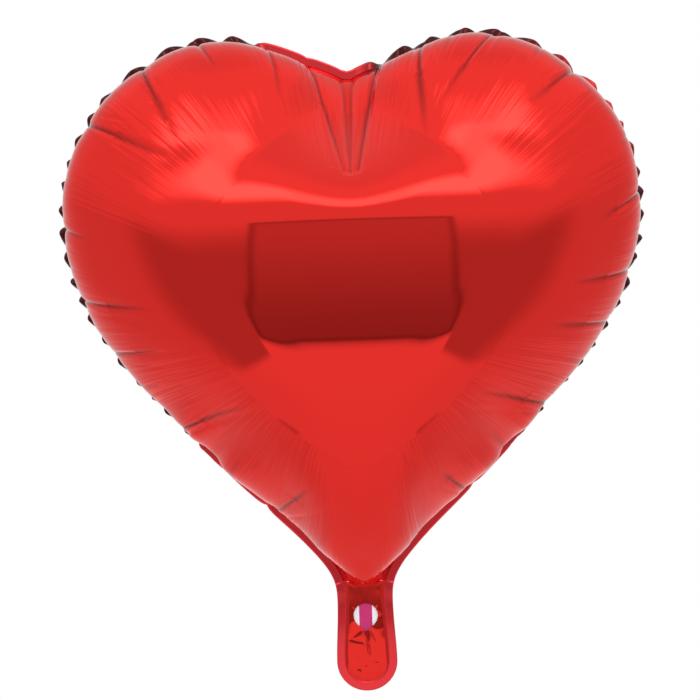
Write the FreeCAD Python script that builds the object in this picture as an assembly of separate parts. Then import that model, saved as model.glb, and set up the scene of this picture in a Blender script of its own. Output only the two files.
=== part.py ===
"""Heart-shaped foil balloon, inflated, with its flat filling neck hanging straight down.

Two sheets of metallised film are heat-sealed to each other round a heart. The seal is a flat band,
the rim, and the two sheets puff out in front of it and behind it. Below the tip of the heart the
sheets run on as a flat neck. A hole in the neck's front sheet lets a straw in, between the two clear
films of a self-sealing valve that lead up into the heart. A printed release strip keeps the two
films from welding together.

Frame: millimetres, +Z up towards the cleft, +X to the right seen from the front, +Y to the back.
The origin is the tie point, in the middle of the line where the neck meets the heart.
The neck folds about the X axis there, so the neck's pieces stop FOLD_GAP below that line and the
heart's pieces stop FOLD_GAP above it.

Real film is about 0.05 mm thick. Every film is drawn thicker here, so that it meshes as a solid.
"""

import FreeCAD
import Part

import math
import os

# Driving dimensions ---------------------------------------------------------------------------
FILM = 0.4            # drawn thickness of one foil sheet
RIM_HALF = 0.4        # half the drawn thickness of the heat-sealed rim
RIM_WIDTH = 5.4       # width of the heat seal
RIM_LAP = 1.2         # how far a sheet laps onto the rim
HEART_DEPTH = 83.5    # how far each sheet puffs out from the rim
CENTRE_Z = 190.0      # height of the fullest point
TIP_FULLNESS = 0.38   # how full the sheets are at the heart's tip, against 1 at the fullest point
INNER_DRAW = 1.4      # how far a sheet's inner face draws in sideways, against its thickness
FOLD_GAP = 1.2        # clearance on each side of the fold line

NECK_HALF_TOP = 18.1  # half width of the neck at the fold line
NECK_END_R = 18.6     # radius of the neck's round end
NECK_LENGTH = 65.5    # from the fold line to the neck's lowest point
NECK_SIDE = [(17.1, -10.0), (17.5, -28.0)]    # the side's points between its two ends

PORT_Z = -18.5        # centre of the filling hole
PORT_R = 7.5          # radius of the filling hole
PORT_TIP = 10.2       # from its centre down to the point of its small tear

VALVE_FILM = 0.2      # drawn thickness of one valve film
VALVE_GAP = 0.2       # space between the two valve films
VALVE_HALF = 11.0     # half the width of the valve
VALVE_LOW = -36.0     # lower end of the valve, in the neck
VALVE_HIGH = 74.0     # upper end of the valve, inside the heart
VALVE_CORNER = 3.0    # radius of its corners
CHANNEL_ROOM = 0.8    # clearance on each side of the valve where it passes through the rim
CHANNEL_LOW = -5.0    # lower end of the cut that clears its way
CHANNEL_HIGH = 15.0   # upper end of that cut
STRIP_FILM = 0.1      # drawn thickness of the printed release strip
STRIP_HALF = 4.0      # half its width
STRIP_LOW = -32.0     # its lower end
STRIP_HIGH = 42.0     # its upper end

# Outlines, as (x, z) down the right-hand side. The left-hand side is the mirror image ----------
CLEFT_SLOPE = 0.42    # how steeply the puffed sheets' edge rises out of the cleft
RIM_OUTLINE = [
    (0.0, 318.0),
    (34.0, 332.0),
    (82.0, 343.0),
    (128.0, 327.0),
    (166.0, 288.0),
    (181.5, 232.0),
    (166.0, 171.0),
    (121.0, 112.0),
    (62.0, 52.5),
    (29.0, 19.5),
    (NECK_HALF_TOP, FOLD_GAP),
]
PUFF_OUTLINE = [
    (0.0, 312.5),
    (36.0, 326.5),
    (82.0, 337.5),
    (124.0, 322.5),
    (161.0, 285.0),
    (176.0, 232.0),
    (160.5, 172.0),
    (116.0, 114.5),
    (58.0, 56.0),
    (23.0, 20.5),
    (10.5, 6.5),
    (0.0, 3.2),
]

# How finely the puffed sheets are drawn
RAYS = 72
ROUNDING_RAYS = 9     # neighbours on each side that round the heart off towards its fullest point
LEVELS_DEG = [0, 9, 20, 32, 44, 56, 67, 77, 85]
EDGE_SAMPLES = 900    # points along the edge from which the rays' lengths are read
HALVINGS = 40         # steps of the search for a contour's place on its ray


def point(x, y, z):
    return FreeCAD.Vector(x, y, z)


def mirrored(edge):
    """The same edge on the other side of the balloon's middle plane."""
    return edge.mirror(point(0, 0, 0), point(1, 0, 0)).Edges[0]


def spline(outline, y, start_tangent=None, end_tangent=None):
    """A smooth edge through (x, z) points, in the plane at y."""
    curve = Part.BSplineCurve()
    points = [point(x, y, z) for x, z in outline]
    if start_tangent:
        curve.interpolate(Points=points, InitialTangent=start_tangent, FinalTangent=end_tangent)
    else:
        curve.interpolate(points)
    return curve.toShape()


def closed_wire(half_edges, y):
    """A closed wire from the right-hand edges, given top to bottom, and their mirror images.

    A straight edge closes whatever gap the halves leave at the middle."""
    edges = half_edges + [mirrored(e) for e in half_edges]
    ends = [half_edges[0].Vertexes[0].Point, half_edges[-1].Vertexes[-1].Point]
    for end in ends:
        if abs(end.x) > 1e-6:
            edges.append(Part.makeLine(end, point(-end.x, y, end.z)))
    return Part.Wire(Part.__sortEdges__(edges))


def plate(wire, thickness):
    """The flat solid on wire, grown towards +Y."""
    return Part.Face(wire).extrude(point(0, thickness, 0))


def write(name, shape):
    """One STEP file for one named piece."""
    if not shape.isValid():
        raise ValueError(name + " is not a valid solid")
    shape.exportStep("parts/" + name + ".step")
    print(f"{name:26s} {shape.Volume:10.1f} mm3, {len(shape.Solids)} solid")


# The puffed sheets ------------------------------------------------------------------------------
def out_of_the_cleft():
    """Direction in which the puffed sheets' edge leaves the cleft."""
    return point(1.0, 0, CLEFT_SLOPE)


def across_the_tip():
    """Direction in which the puffed sheets' edge crosses the middle at the heart's tip."""
    return point(-1.0, 0, 0)


def puff_edge(y):
    """The right-hand edge of the puffed region, smooth across the tip and notched at the cleft."""
    return spline(PUFF_OUTLINE, y, out_of_the_cleft(), across_the_tip())


def edge_radii():
    """Distance from the fullest point to the puffed region's edge, for RAYS even directions.

    Direction 0 is straight down at the tip, and half of RAYS is straight up at the cleft."""
    samples = puff_edge(0).discretize(Number=EDGE_SAMPLES)
    polar = [(math.atan2(p.x, CENTRE_Z - p.z), math.hypot(p.x, p.z - CENTRE_Z)) for p in samples]
    polar.sort()
    radii = []
    for i in range(RAYS):
        angle = 2 * math.pi * i / RAYS
        angle = min(angle, 2 * math.pi - angle)
        radii.append(min(polar, key=lambda sample: abs(sample[0] - angle))[1])
    return radii


def rounded(radii, i):
    """The mean radius round ray i, which the inner contours follow, so that the notch fades out."""
    near = [radii[(i + k) % RAYS] for k in range(-ROUNDING_RAYS, ROUNDING_RAYS + 1)]
    return sum(near) / len(near)


def fullness(z):
    """How full the heart is at height z, from a little at the narrow tip to 1 at the fullest point."""
    share = max(0.0, min(1.0, z / CENTRE_Z))
    return TIP_FULLNESS + (1 - TIP_FULLNESS) * math.sin(share * math.pi / 2)


def depth(share, reach, angle):
    """How far a sheet stands out, as a share of HEART_DEPTH, at that share of the way to the edge."""
    return math.sqrt(max(0.0, 1 - share * share)) * fullness(CENTRE_Z - reach * math.cos(angle))


def reach_at(level, angle, edge, inner):
    """Distance along a ray to where the sheet stands out by level, found by halving."""
    low, high = 0.0, 1.0
    for _ in range(HALVINGS):
        share = (low + high) / 2
        reach = share * (share * edge + (1 - share) * inner)
        if depth(share, reach, angle) > level:
            low = share
        else:
            high = share
    return low * (low * edge + (1 - low) * inner)


def dome(radii, shrink):
    """The solid under a puffed sheet, towards -Y. shrink draws it smaller, as its inner face."""
    wires = []
    for degrees in LEVELS_DEG:
        level = math.sin(math.radians(degrees))
        y = -RIM_HALF - (HEART_DEPTH - shrink) * level
        points = []
        for i, radius in enumerate(radii):
            angle = 2 * math.pi * i / RAYS
            reach = reach_at(level, angle, radius, rounded(radii, i))
            reach *= 1 - INNER_DRAW * shrink / radius
            points.append(point(reach * math.sin(angle), y, CENTRE_Z - reach * math.cos(angle)))
        curve = Part.BSplineCurve()
        curve.interpolate(Points=points, PeriodicFlag=True)
        wires.append(Part.Wire(curve.toShape()))
    return Part.makeLoft(wires, True, False)


def foil_panel():
    """The front sheet of the heart, a hollow shell that opens onto the rim."""
    radii = edge_radii()
    return dome(radii, 0.0).cut(dome(radii, FILM))


def to_back(shape):
    """The same piece on the back of the balloon."""
    return shape.mirror(point(0, 0, 0), point(0, 1, 0))


# The heat-sealed rim ----------------------------------------------------------------------------
def heart_rim():
    """The flat sealed band round the heart, open at the tip where the valve passes."""
    outer = closed_wire([spline(RIM_OUTLINE, -RIM_HALF)], -RIM_HALF)
    lapped = []
    for x, z in PUFF_OUTLINE:
        reach = math.hypot(x, z - CENTRE_Z)
        scale = (reach - FILM - RIM_LAP) / reach
        lapped.append((x * scale, CENTRE_Z + (z - CENTRE_Z) * scale))
    inner_edge = spline(lapped, -RIM_HALF, out_of_the_cleft(), across_the_tip())
    inner = closed_wire([inner_edge], -RIM_HALF)
    half = VALVE_HALF + CHANNEL_ROOM
    channel = Part.makeBox(
        2 * half, 4 * RIM_HALF, CHANNEL_HIGH - CHANNEL_LOW, point(-half, -2 * RIM_HALF, CHANNEL_LOW)
    )
    return plate(outer, 2 * RIM_HALF).cut(plate(inner, 2 * RIM_HALF)).cut(channel)


def neck_wire(inset, y):
    """The neck's outline, moved inwards by inset, and open to the fold line at the top."""
    end_r = NECK_END_R - inset
    end_z = NECK_END_R - NECK_LENGTH
    points = [(NECK_HALF_TOP, -FOLD_GAP)] + NECK_SIDE + [(NECK_END_R, end_z)]
    side = spline([(x - inset, z) for x, z in points], y)
    quarter = math.sqrt(0.5) * end_r
    end = Part.Arc(
        point(end_r, y, end_z), point(quarter, y, end_z - quarter), point(0, y, end_z - end_r)
    ).toShape()
    return closed_wire([side, end], y)


def neck_rim():
    """The U-shaped sealed band down both sides of the neck and round its end."""
    outer = plate(neck_wire(0, -RIM_HALF), 2 * RIM_HALF)
    inner = plate(neck_wire(RIM_WIDTH, -RIM_HALF), 2 * RIM_HALF)
    return outer.cut(inner)


# The neck's sheets ------------------------------------------------------------------------------
def neck_back_sheet():
    """The neck's plain back sheet."""
    return plate(neck_wire(RIM_WIDTH - RIM_LAP, RIM_HALF), FILM)


def filling_hole():
    """A cutter for the round filling hole and the small tear that runs down from it."""
    y = -RIM_HALF - 2 * FILM
    tangent_angle = math.acos(PORT_R / PORT_TIP)
    side_x = PORT_R * math.sin(tangent_angle)
    side_z = PORT_Z - PORT_R * math.cos(tangent_angle)
    tip = point(0, y, PORT_Z - PORT_TIP)
    right = point(side_x, y, side_z)
    left = point(-side_x, y, side_z)
    round_part = Part.Arc(right, point(0, y, PORT_Z + PORT_R), left).toShape()
    wire = Part.Wire([round_part, Part.makeLine(left, tip), Part.makeLine(tip, right)])
    return plate(wire, 3 * FILM)


def neck_front_sheet():
    """The neck's front sheet, with the filling hole."""
    return plate(neck_wire(RIM_WIDTH - RIM_LAP, -RIM_HALF - FILM), FILM).cut(filling_hole())


# The self-sealing valve -------------------------------------------------------------------------
def strip_plate(half_width, low, high, y, thickness, round_low, round_high):
    """A flat upright strip from low to high, with its lower or upper corners rounded."""
    body = Part.makeBox(2 * half_width, thickness, high - low, point(-half_width, y, low))
    corners = []
    for edge in body.Edges:
        middle = edge.CenterOfMass
        along_y = abs(edge.Vertexes[0].Point.y - edge.Vertexes[-1].Point.y) > thickness / 2
        at_end = (round_low and abs(middle.z - low) < 1e-6) or (
            round_high and abs(middle.z - high) < 1e-6
        )
        if along_y and at_end:
            corners.append(edge)
    return body.makeFillet(VALVE_CORNER, corners)


def valve_pieces():
    """The valve's films and release strip, each cut in two at the fold line: (name, solid)."""
    front_y = -VALVE_GAP / 2 - VALVE_FILM
    back_y = VALVE_GAP / 2
    strip_y = VALVE_GAP / 2 - STRIP_FILM
    layers = [
        ("front_film", VALVE_HALF, VALVE_LOW, VALVE_HIGH, front_y, VALVE_FILM),
        ("back_film", VALVE_HALF, VALVE_LOW, VALVE_HIGH, back_y, VALVE_FILM),
        ("release_strip", STRIP_HALF, STRIP_LOW, STRIP_HIGH, strip_y, STRIP_FILM),
    ]
    pieces = []
    for name, half, low, high, y, thickness in layers:
        mouth = strip_plate(half, low, -FOLD_GAP, y, thickness, True, False)
        tail = strip_plate(half, FOLD_GAP, high, y, thickness, False, True)
        pieces.append(("valve_mouth_" + name, mouth))
        pieces.append(("valve_tail_" + name, tail))
    return pieces


def main():
    os.makedirs("parts", exist_ok=True)
    front = foil_panel()
    write("front_foil_panel", front)
    write("back_foil_panel", to_back(front))
    write("heart_sealed_rim", heart_rim())
    write("neck_sealed_rim", neck_rim())
    write("neck_front_foil", neck_front_sheet())
    write("neck_back_foil", neck_back_sheet())
    for name, solid in valve_pieces():
        write(name, solid)


main()
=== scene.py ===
"""Looks of the heart-shaped foil balloon: two pleated film sheets, their sealed rim, the neck and its valve.

The sheets are first blown up as a membrane from their flat cut, on a coarse mesh. The result is refined, its
middle is moved to a fixed crowned form, and creases, pillows and ripples are laid on it along the seal.
"""
import math
from functools import partialmethod

import bpy
import numpy as np
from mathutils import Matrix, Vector, geometry


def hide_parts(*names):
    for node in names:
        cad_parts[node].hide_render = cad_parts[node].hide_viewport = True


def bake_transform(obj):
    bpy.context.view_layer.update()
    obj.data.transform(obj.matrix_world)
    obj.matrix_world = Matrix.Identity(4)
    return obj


joined = np.concatenate
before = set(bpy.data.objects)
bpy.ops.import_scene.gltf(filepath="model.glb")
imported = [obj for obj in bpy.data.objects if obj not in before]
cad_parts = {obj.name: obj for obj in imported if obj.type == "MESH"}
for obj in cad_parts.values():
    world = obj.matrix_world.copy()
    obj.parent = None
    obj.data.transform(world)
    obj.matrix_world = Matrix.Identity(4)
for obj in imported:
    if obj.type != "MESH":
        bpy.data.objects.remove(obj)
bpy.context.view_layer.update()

# ---- dimensions, metres
SEAL = 0.0054  # width of the heat-sealed band
THROAT = (0.0127, 0.003)  # where the seam of the heart ends beside the neck
FLAT_X, FLAT_Z, FLAT_CLEFT = 1.26, 1.20, -0.008  # the flat cut, against the inflated seam
HEART_MIDDLE = np.array([0.0, 0.21])  # where the rings of the membrane's mesh are centred
FEET = 64  # one spoke in this many, on each side, ends on the throat
MIRROR = np.array([-1, 1])  # takes a right half's points to the left
RIM_OUTLINE = [(0, .318), (.034, .332), (.082, .343), (.128, .327), (.166, .288), (.1815, .232),
               (.166, .171), (.121, .112), (.062, .0525), (.029, .0195), (.0181, .0012)]
SEAM_OUTLINE = [(0, .3125), (.032, .327), (.080, .3376), (.124, .322), (.161, .285), (.176, .232),
                (.161, .171), (.118, .112), (.060, .0525), (.025, .0195)]
NECK_WIDE, NECK_NARROW, NECK_LOW = 0.0186, 0.0171, -0.0655
HOLE_Z, HOLE_R, HOLE_TIP = -0.0185, 0.0075, 0.0102  # filling hole: centre, radius, down to its point
FILM = 0.00012  # drawn thickness of the sealed band

# ---- curves


def spline(points, start, end, steps=60):
    """A dense smooth curve through points, with those end directions."""
    p = np.array(points, float)
    h = np.hypot(*np.diff(p, axis=0).T)
    a, b = np.eye(len(p)), np.zeros((len(p), 2))
    b[0], b[-1] = np.array(start) / np.hypot(*start), np.array(end) / np.hypot(*end)
    for i in range(1, len(p) - 1):
        a[i, i - 1:i + 2] = h[i], 2 * (h[i] + h[i - 1]), h[i - 1]
        b[i] = 3 * (h[i] * (p[i] - p[i - 1]) / h[i - 1] + h[i - 1] * (p[i + 1] - p[i]) / h[i])
    m = np.linalg.solve(a, b)
    parts = []
    for i in range(len(p) - 1):
        t = np.linspace(0, 1, steps, endpoint=i == len(p) - 2)[:, None]
        parts.append((2 * t**3 - 3 * t**2 + 1) * p[i] + (t**3 - 2 * t**2 + t) * h[i] * m[i]
                     + (3 * t**2 - 2 * t**3) * p[i + 1] + (t**3 - t**2) * h[i] * m[i + 1])
    return joined(parts)


def lengths(curve):
    return joined([[0], np.cumsum(np.sqrt((np.diff(curve, axis=0) ** 2).sum(1)))])


def resample(curve, count):
    s = lengths(curve)
    t = np.linspace(0, s[-1], count)
    return np.stack([np.interp(t, s, curve[:, k]) for k in range(curve.shape[1])], 1)


def outward(curve):
    """Unit normals of a curve that runs clockwise, seen from the front."""
    t = np.gradient(curve, axis=0)
    n = np.stack([-t[:, 1], t[:, 0]], 1)
    return n / np.hypot(n[:, 0], n[:, 1])[:, None]


def both_sides(right):
    """A right half that starts or ends on the middle line, followed by its mirror image the other way."""
    return joined([right, (right[:-1] * MIRROR)[::-1]])


def feet_of(spokes):
    """How many of the spokes on each side end on the throat."""
    return max(1, spokes // FEET)


def closed(half, spokes):
    """Half an outline, cleft to throat, as a closed ring of spokes that starts at the cleft."""
    flat = feet_of(spokes)
    side = resample(half, spokes // 2 - flat + 1)
    foot = np.stack([np.linspace(side[-1, 0], 0, flat + 1)[1:], np.full(flat, side[-1, 1])], 1)
    return both_sides(joined([side, foot]))[:-1]


def rim_half():
    """The rim's outer edge, from the cleft to the neck."""
    return spline(RIM_OUTLINE, (1, .42), (-.25, -1))


def seam_half():
    """The inflated seam, from the cleft to the throat: the rim's outline less the sealed band."""
    rim = rim_half()
    seam = rim - SEAL * outward(rim)
    seam = seam[(seam[:, 0] >= 0) & (np.hypot(*(seam - THROAT).T) > .004) & (seam[:, 1] > THROAT[1])]
    return joined([[[0, seam[0, 1]]], seam, [THROAT]])


def flat_half():
    """The flat cut's seam line, which is larger than the inflated one."""
    points = [(x * FLAT_X, (z + (FLAT_CLEFT if x == 0 else 0)) * FLAT_Z) for x, z in SEAM_OUTLINE]
    return spline(points + [THROAT], (1, .5), (-1, -.9))


# ---- the membrane


def size(d):
    return np.sqrt(d[0] * d[0] + d[1] * d[1] + d[2] * d[2])


class Sheet:
    """A grid of film (3, rows, columns), closed in columns if round. Springs, bending and pressure."""

    def __init__(self, flat, round_, stretch=1.0, squeeze=0.1, bend=4e-7):
        self.round, self.squeeze = round_, squeeze
        rest = np.stack([flat[..., 0], np.zeros(flat.shape[:-1]), flat[..., 1]]).astype(np.float32)
        self.x, self.v = rest.copy(), np.zeros_like(rest)
        if round_:
            rest = joined([rest, rest[:, :, :1]], 2)
        col, row = size(rest[:, :, 1:] - rest[:, :, :-1]), size(rest[:, 1:] - rest[:, :-1])
        high, wide = np.zeros(rest.shape[1:], np.float32), np.zeros(rest.shape[1:], np.float32)
        high[:-1] += row / 2
        high[1:] += row / 2
        wide[:, :-1] += col / 2
        wide[:, 1:] += col / 2
        if round_:
            wide[:, 0] += col[:, -1] / 2
            wide[:, -1] = wide[:, 0]
        a, b = size(rest[:, 1:, 1:] - rest[:, :-1, :-1]), size(rest[:, 1:, :-1] - rest[:, :-1, 1:])
        cell = (row[:, 1:] + row[:, :-1]) * (col[1:] + col[:-1]) / 4
        # Springs that together act as even film: 3/8 goes along the grid's sides, 1/2 along its diagonals.
        self.springs = [(np.s_[:, 1:], np.s_[:, :-1], col, stretch * .375 * (high[:, 1:] + high[:, :-1])),
                        (np.s_[1:, :], np.s_[:-1, :], row, stretch * .375 * (wide[1:] + wide[:-1])),
                        (np.s_[1:, 1:], np.s_[:-1, :-1], a, stretch * cell / 2 / a),
                        (np.s_[1:, :-1], np.s_[:-1, 1:], b, stretch * cell / 2 / b)]
        self.bend_col = bend * high[:, 1:-1] / wide[:, 1:-1] ** 3
        self.bend_row = bend * wide[1:-1] / high[1:-1] ** 3
        mass = np.zeros(rest.shape[1:], np.float32)
        for p, q, rest_length, k in self.springs:
            mass[p] += k / rest_length
            mass[q] += k / rest_length
        mass[:, 1:-1] += 8 * self.bend_col
        mass[1:-1] += 8 * self.bend_row
        if round_:
            mass[:, 0] += mass[:, -1]
            mass = mass[:, :-1]
        self.mass = mass

    def push(self, pressure, crease_row=None):
        """Adds up the forces on the sheet. Bending isn't resisted across crease_row, the seam."""
        x = joined([self.x, self.x[:, :, :1]], 2) if self.round else self.x
        f = np.zeros_like(x)
        for p, q, rest_length, k in self.springs:
            p, q = (slice(None), *p), (slice(None), *q)
            d = x[p] - x[q]
            length = size(d)
            strain = (length - rest_length) / rest_length
            strain = np.where(strain < 0, strain * np.float32(self.squeeze), strain)
            d *= k * strain / np.maximum(length, np.float32(1e-7))
            f[p] -= d
            f[q] += d
        a, b = x[:, 1:, 1:] - x[:, :-1, :-1], x[:, 1:, :-1] - x[:, :-1, 1:]
        n = np.cross(a, b, axis=0) * np.float32(pressure / 8)
        for part in (np.s_[:, 1:, 1:], np.s_[:, :-1, :-1], np.s_[:, 1:, :-1], np.s_[:, :-1, 1:]):
            f[part] += n
        d = (x[:, :, 2:] - 2 * x[:, :, 1:-1] + x[:, :, :-2]) * self.bend_col
        f[:, :, 1:-1] += 2 * d
        f[:, :, 2:] -= d
        f[:, :, :-2] -= d
        d = (x[:, 2:] - 2 * x[:, 1:-1] + x[:, :-2]) * self.bend_row
        if crease_row is not None:
            d[:, crease_row - 1] = 0
        f[:, 1:-1] += 2 * d
        f[:, 2:] -= d
        f[:, :-2] -= d
        if self.round:
            f[:, :, 0] += f[:, :, -1]
            f = f[:, :, :-1]
        self.f = f


def patch_border(n):
    """Row and column of each spoke's vertex on the edge of the middle patch, from its top middle."""
    h, s = n // 2, np.arange(4 * n)
    i = np.where(s <= h, 0, np.where(s <= h + n, s - h, np.where(s <= h + 2 * n, n, h + 3 * n - s)))
    j = np.where(s <= h, s + h, np.where(s <= h + n, n, np.where(s <= h + 2 * n, h + 2 * n - s, 0)))
    return np.maximum(i, 0), np.where(s > h + 3 * n, s - h - 3 * n, j)


def coons(border, n, i, j):
    """Fills the patch between its border points, (4n, 2)."""
    g = np.zeros((n + 1, n + 1, 2))
    g[i, j] = border
    u = np.linspace(0, 1, n + 1)
    down, across = u[:, None, None], u[None, :, None]
    edge = (1 - down) * g[0] + down * g[n] + (1 - across) * g[:, :1] + across * g[:, n:]
    corners = ((1 - across) * (1 - down) * g[0, 0] + across * (1 - down) * g[0, n]
               + (1 - across) * down * g[n, 0] + across * down * g[n, n])
    g = edge - corners
    g[i, j] = border
    return g


FIRST_DEPTH = .09  # the rough form that the film starts from: depth of its fullest point,
TIP_FULL, FULL_Z = .38, .19  # its fullness at the tip, and the height from which it is full
DAMPING, EVEN_OUT = .985, 50  # speed kept at each step, and steps between the mirrorings


def blow_up(spokes=128, rings=16, steps=3600, pressure=0.12):
    """Inflates a balloon that is kept the same left and right, front and back.

    The seam is held in place. Returns the front sheet: its patch and its rings.
    """
    n = spokes // 4
    flat_seam, seam = closed(flat_half(), spokes), closed(seam_half(), spokes)
    i, j = patch_border(n)
    rel = flat_seam - HEART_MIDDLE
    reach = np.hypot(*rel.T)
    angle = np.unwrap(np.arctan2(rel[:, 0], rel[:, 1]))
    turn = .6 * angle + .4 * (angle[0] + 2 * np.pi * np.arange(spokes) / spokes)
    core_reach = .25 * reach + .225 * reach.mean()
    core = HEART_MIDDLE + core_reach[:, None] * np.stack([np.sin(turn), np.cos(turn)], 1)
    t = np.linspace(0, 1, rings + 1)
    t = t + .35 * t * (1 - t)
    rows = core[None] * (1 - t[:, None, None]) + flat_seam[None] * t[:, None, None]
    patch_flat = coons(core, n, i, j)
    ring = Sheet(joined([rows, rows[-2::-1]]), True)
    front = Sheet(patch_flat, False)
    for shared in (0, -1):
        ring.mass[shared] += front.mass[i, j]
    front.mass[i, j] = ring.mass[0]
    heading = np.arctan2(rel[:, 0], rel[:, 1])
    order = np.argsort(heading)

    def place(sheet, flat, side):
        d = flat - HEART_MIDDLE
        edge = np.interp(np.arctan2(d[..., 0], d[..., 1]), heading[order], reach[order], period=2 * np.pi)
        share = np.clip(np.hypot(d[..., 0], d[..., 1]) / edge, 0, 1)
        z = flat[..., 1] / FLAT_Z
        full = TIP_FULL + (1 - TIP_FULL) * np.sin(np.clip(z / FULL_Z, 0, 1) * np.pi / 2)
        sheet.x[:] = np.stack([flat[..., 0] / FLAT_X, side * FIRST_DEPTH * full * np.sqrt(1 - share ** 2), z])

    front_or_back = np.where(np.arange(2 * rings + 1) <= rings, -1, 1)[:, None]
    place(ring, joined([rows, rows[-2::-1]]), front_or_back)
    place(front, patch_flat, -1)
    fixed = np.stack([seam[:, 0], np.zeros(spokes), seam[:, 1]]).astype(np.float32)
    pull = fixed - ring.x[:, rings]
    for r in range(rings + 1):
        for row in {r, 2 * rings - r}:
            ring.x[:, row] += pull * np.float32((r / rings) ** 3)
    back_to_front = np.array([1, -1, 1], np.float32)[:, None, None]
    left_to_right = np.array([-1, 1, 1], np.float32)[:, None, None]
    mirror = -np.arange(spokes) % spokes
    front.x[:, i, j] = ring.x[:, 0]
    for step in range(steps):
        ring.push(pressure, rings)
        front.push(-pressure)
        total = ring.f[:, 0] + front.f[:, i, j]
        ring.f[:, 0] = total
        front.f[:, i, j] = total
        for sheet in (ring, front):
            sheet.v = (sheet.v + sheet.f / sheet.mass) * np.float32(DAMPING)
        ring.v[:, rings] = 0
        ring.v[:, rings + 1:] = ring.v[:, :rings][:, ::-1] * back_to_front
        ring.x += ring.v
        front.x += front.v
        if step % EVEN_OUT == EVEN_OUT - 1 or step == steps - 1:
            ring.x = (ring.x + ring.x[:, :, mirror] * left_to_right) / 2
            ring.x[:, rings + 1:] = ring.x[:, :rings][:, ::-1] * back_to_front
            ring.x[:, rings] = fixed
            front.x = (front.x + front.x[:, :, ::-1] * left_to_right) / 2
            front.x[:, i, j] = ring.x[:, 0]
    return front.x.astype(float), ring.x[:, :rings + 1].astype(float)


def doubled(a, axis, before=None, after=None, wrap=False):
    """Puts cubic midpoints between the samples of a. before and after are the samples beyond its ends."""
    a = np.moveaxis(a, axis, -1)
    if wrap:
        e = joined([a[..., -1:], a, a[..., :2]], -1)
    else:
        before = 2 * a[..., 0] - a[..., 1] if before is None else before
        after = 2 * a[..., -1] - a[..., -2] if after is None else after
        e = joined([before[..., None], a, after[..., None]], -1)
    middle = (9 * (e[..., 1:-2] + e[..., 2:-1]) - e[..., :-3] - e[..., 3:]) / 16
    out = np.empty(a.shape[:-1] + (a.shape[-1] + middle.shape[-1],))
    out[..., 0::2], out[..., 1::2] = a, middle
    return np.moveaxis(out, -1, axis)


def refine(patch, rows):
    """Doubles the patch and the rings round it, each looking across their shared edge."""
    n = patch.shape[1] - 1
    i, j = patch_border(n)
    inner = patch[:, np.clip(i, 1, n - 1), np.clip(j, 1, n - 1)]
    wide = np.zeros((3, n + 3, n + 3))
    wide[:, 1:-1, 1:-1] = patch
    beyond = rows[:, 1]
    sides = (i == 0, 0, None), (i == n, n + 2, None), (j == n, None, n + 2), (j == 0, None, 0)
    for at, row, column in sides:
        row = i[at] + 1 if row is None else row
        column = j[at] + 1 if column is None else column
        wide[:, row, column] = beyond[:, at]
    ends = [0, -1]
    for outer, edge, next_in in ((wide[:, 0, 1:-1], patch[:, 0], patch[:, 1]),
                                 (wide[:, -1, 1:-1], patch[:, -1], patch[:, -2]),
                                 (wide[:, 1:-1, 0], patch[:, :, 0], patch[:, :, 1]),
                                 (wide[:, 1:-1, -1], patch[:, :, -1], patch[:, :, -2])):
        outer[:, ends] = 2 * edge[:, ends] - next_in[:, ends]
    tall = doubled(wide[:, 1:-1], 1, wide[:, 0], wide[:, -1])[:, :, 1:-1]
    left, right = doubled(wide[:, 1:-1, [0, -1]], 1).transpose(2, 0, 1)
    fine = doubled(tall, 2, left, right)
    rings = doubled(doubled(rows, 1, before=inner), 2, wrap=True)
    i, j = patch_border(2 * n)
    fine[:, i, j] = rings[:, 0]
    return fine, rings


def smooth(t):
    t = np.clip(t, 0, 1)
    return t * t * (3 - 2 * t)


def seam_normals(seam):
    """Unit normals of the closed seam, (spokes, 2), pointing out of the heart."""
    half = len(seam) // 2
    out = np.zeros_like(seam)
    out[:half + 1] = outward(seam[:half + 1])
    out[0], out[half] = (0, 1), (0, -1)
    out[half + 1:] = (out[1:half] * MIRROR)[::-1]
    return out


def inwards_of(rows):
    """How far each ring vertex is from the seam, along its spoke."""
    step = np.sqrt(((rows[:, 1:] - rows[:, :-1]) ** 2).sum(0))
    return joined([np.cumsum(step[::-1], 0)[::-1], np.zeros((1, step.shape[1]))])


# The crowned form: height and depth of its fullest point, and its curvature across and up.
CROWN_Z, CROWN_DEPTH, CURVE_ACROSS, CURVE_UP = .190, .0834, 2.4, 2.6
CROWN_WIDE, CROWN_HIGH = .18, .15  # scales of the higher powers that fit it to the sheet
LOBES_FROM, LOBES_OVER = .225, .055  # from this height up, over this far, the lobes are never flattened


def crowned(x, z):
    return CURVE_ACROSS / 2 * x ** 2 + CURVE_UP / 2 * (z - CROWN_Z) ** 2 - CROWN_DEPTH


def crown_powers(x, z):
    u, v = x / CROWN_WIDE, (z - CROWN_Z) / CROWN_HIGH
    return np.stack([np.maximum(v, 0) ** 4, np.minimum(v, 0) ** 4, np.minimum(v, 0) ** 6, u ** 4], -1)


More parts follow.
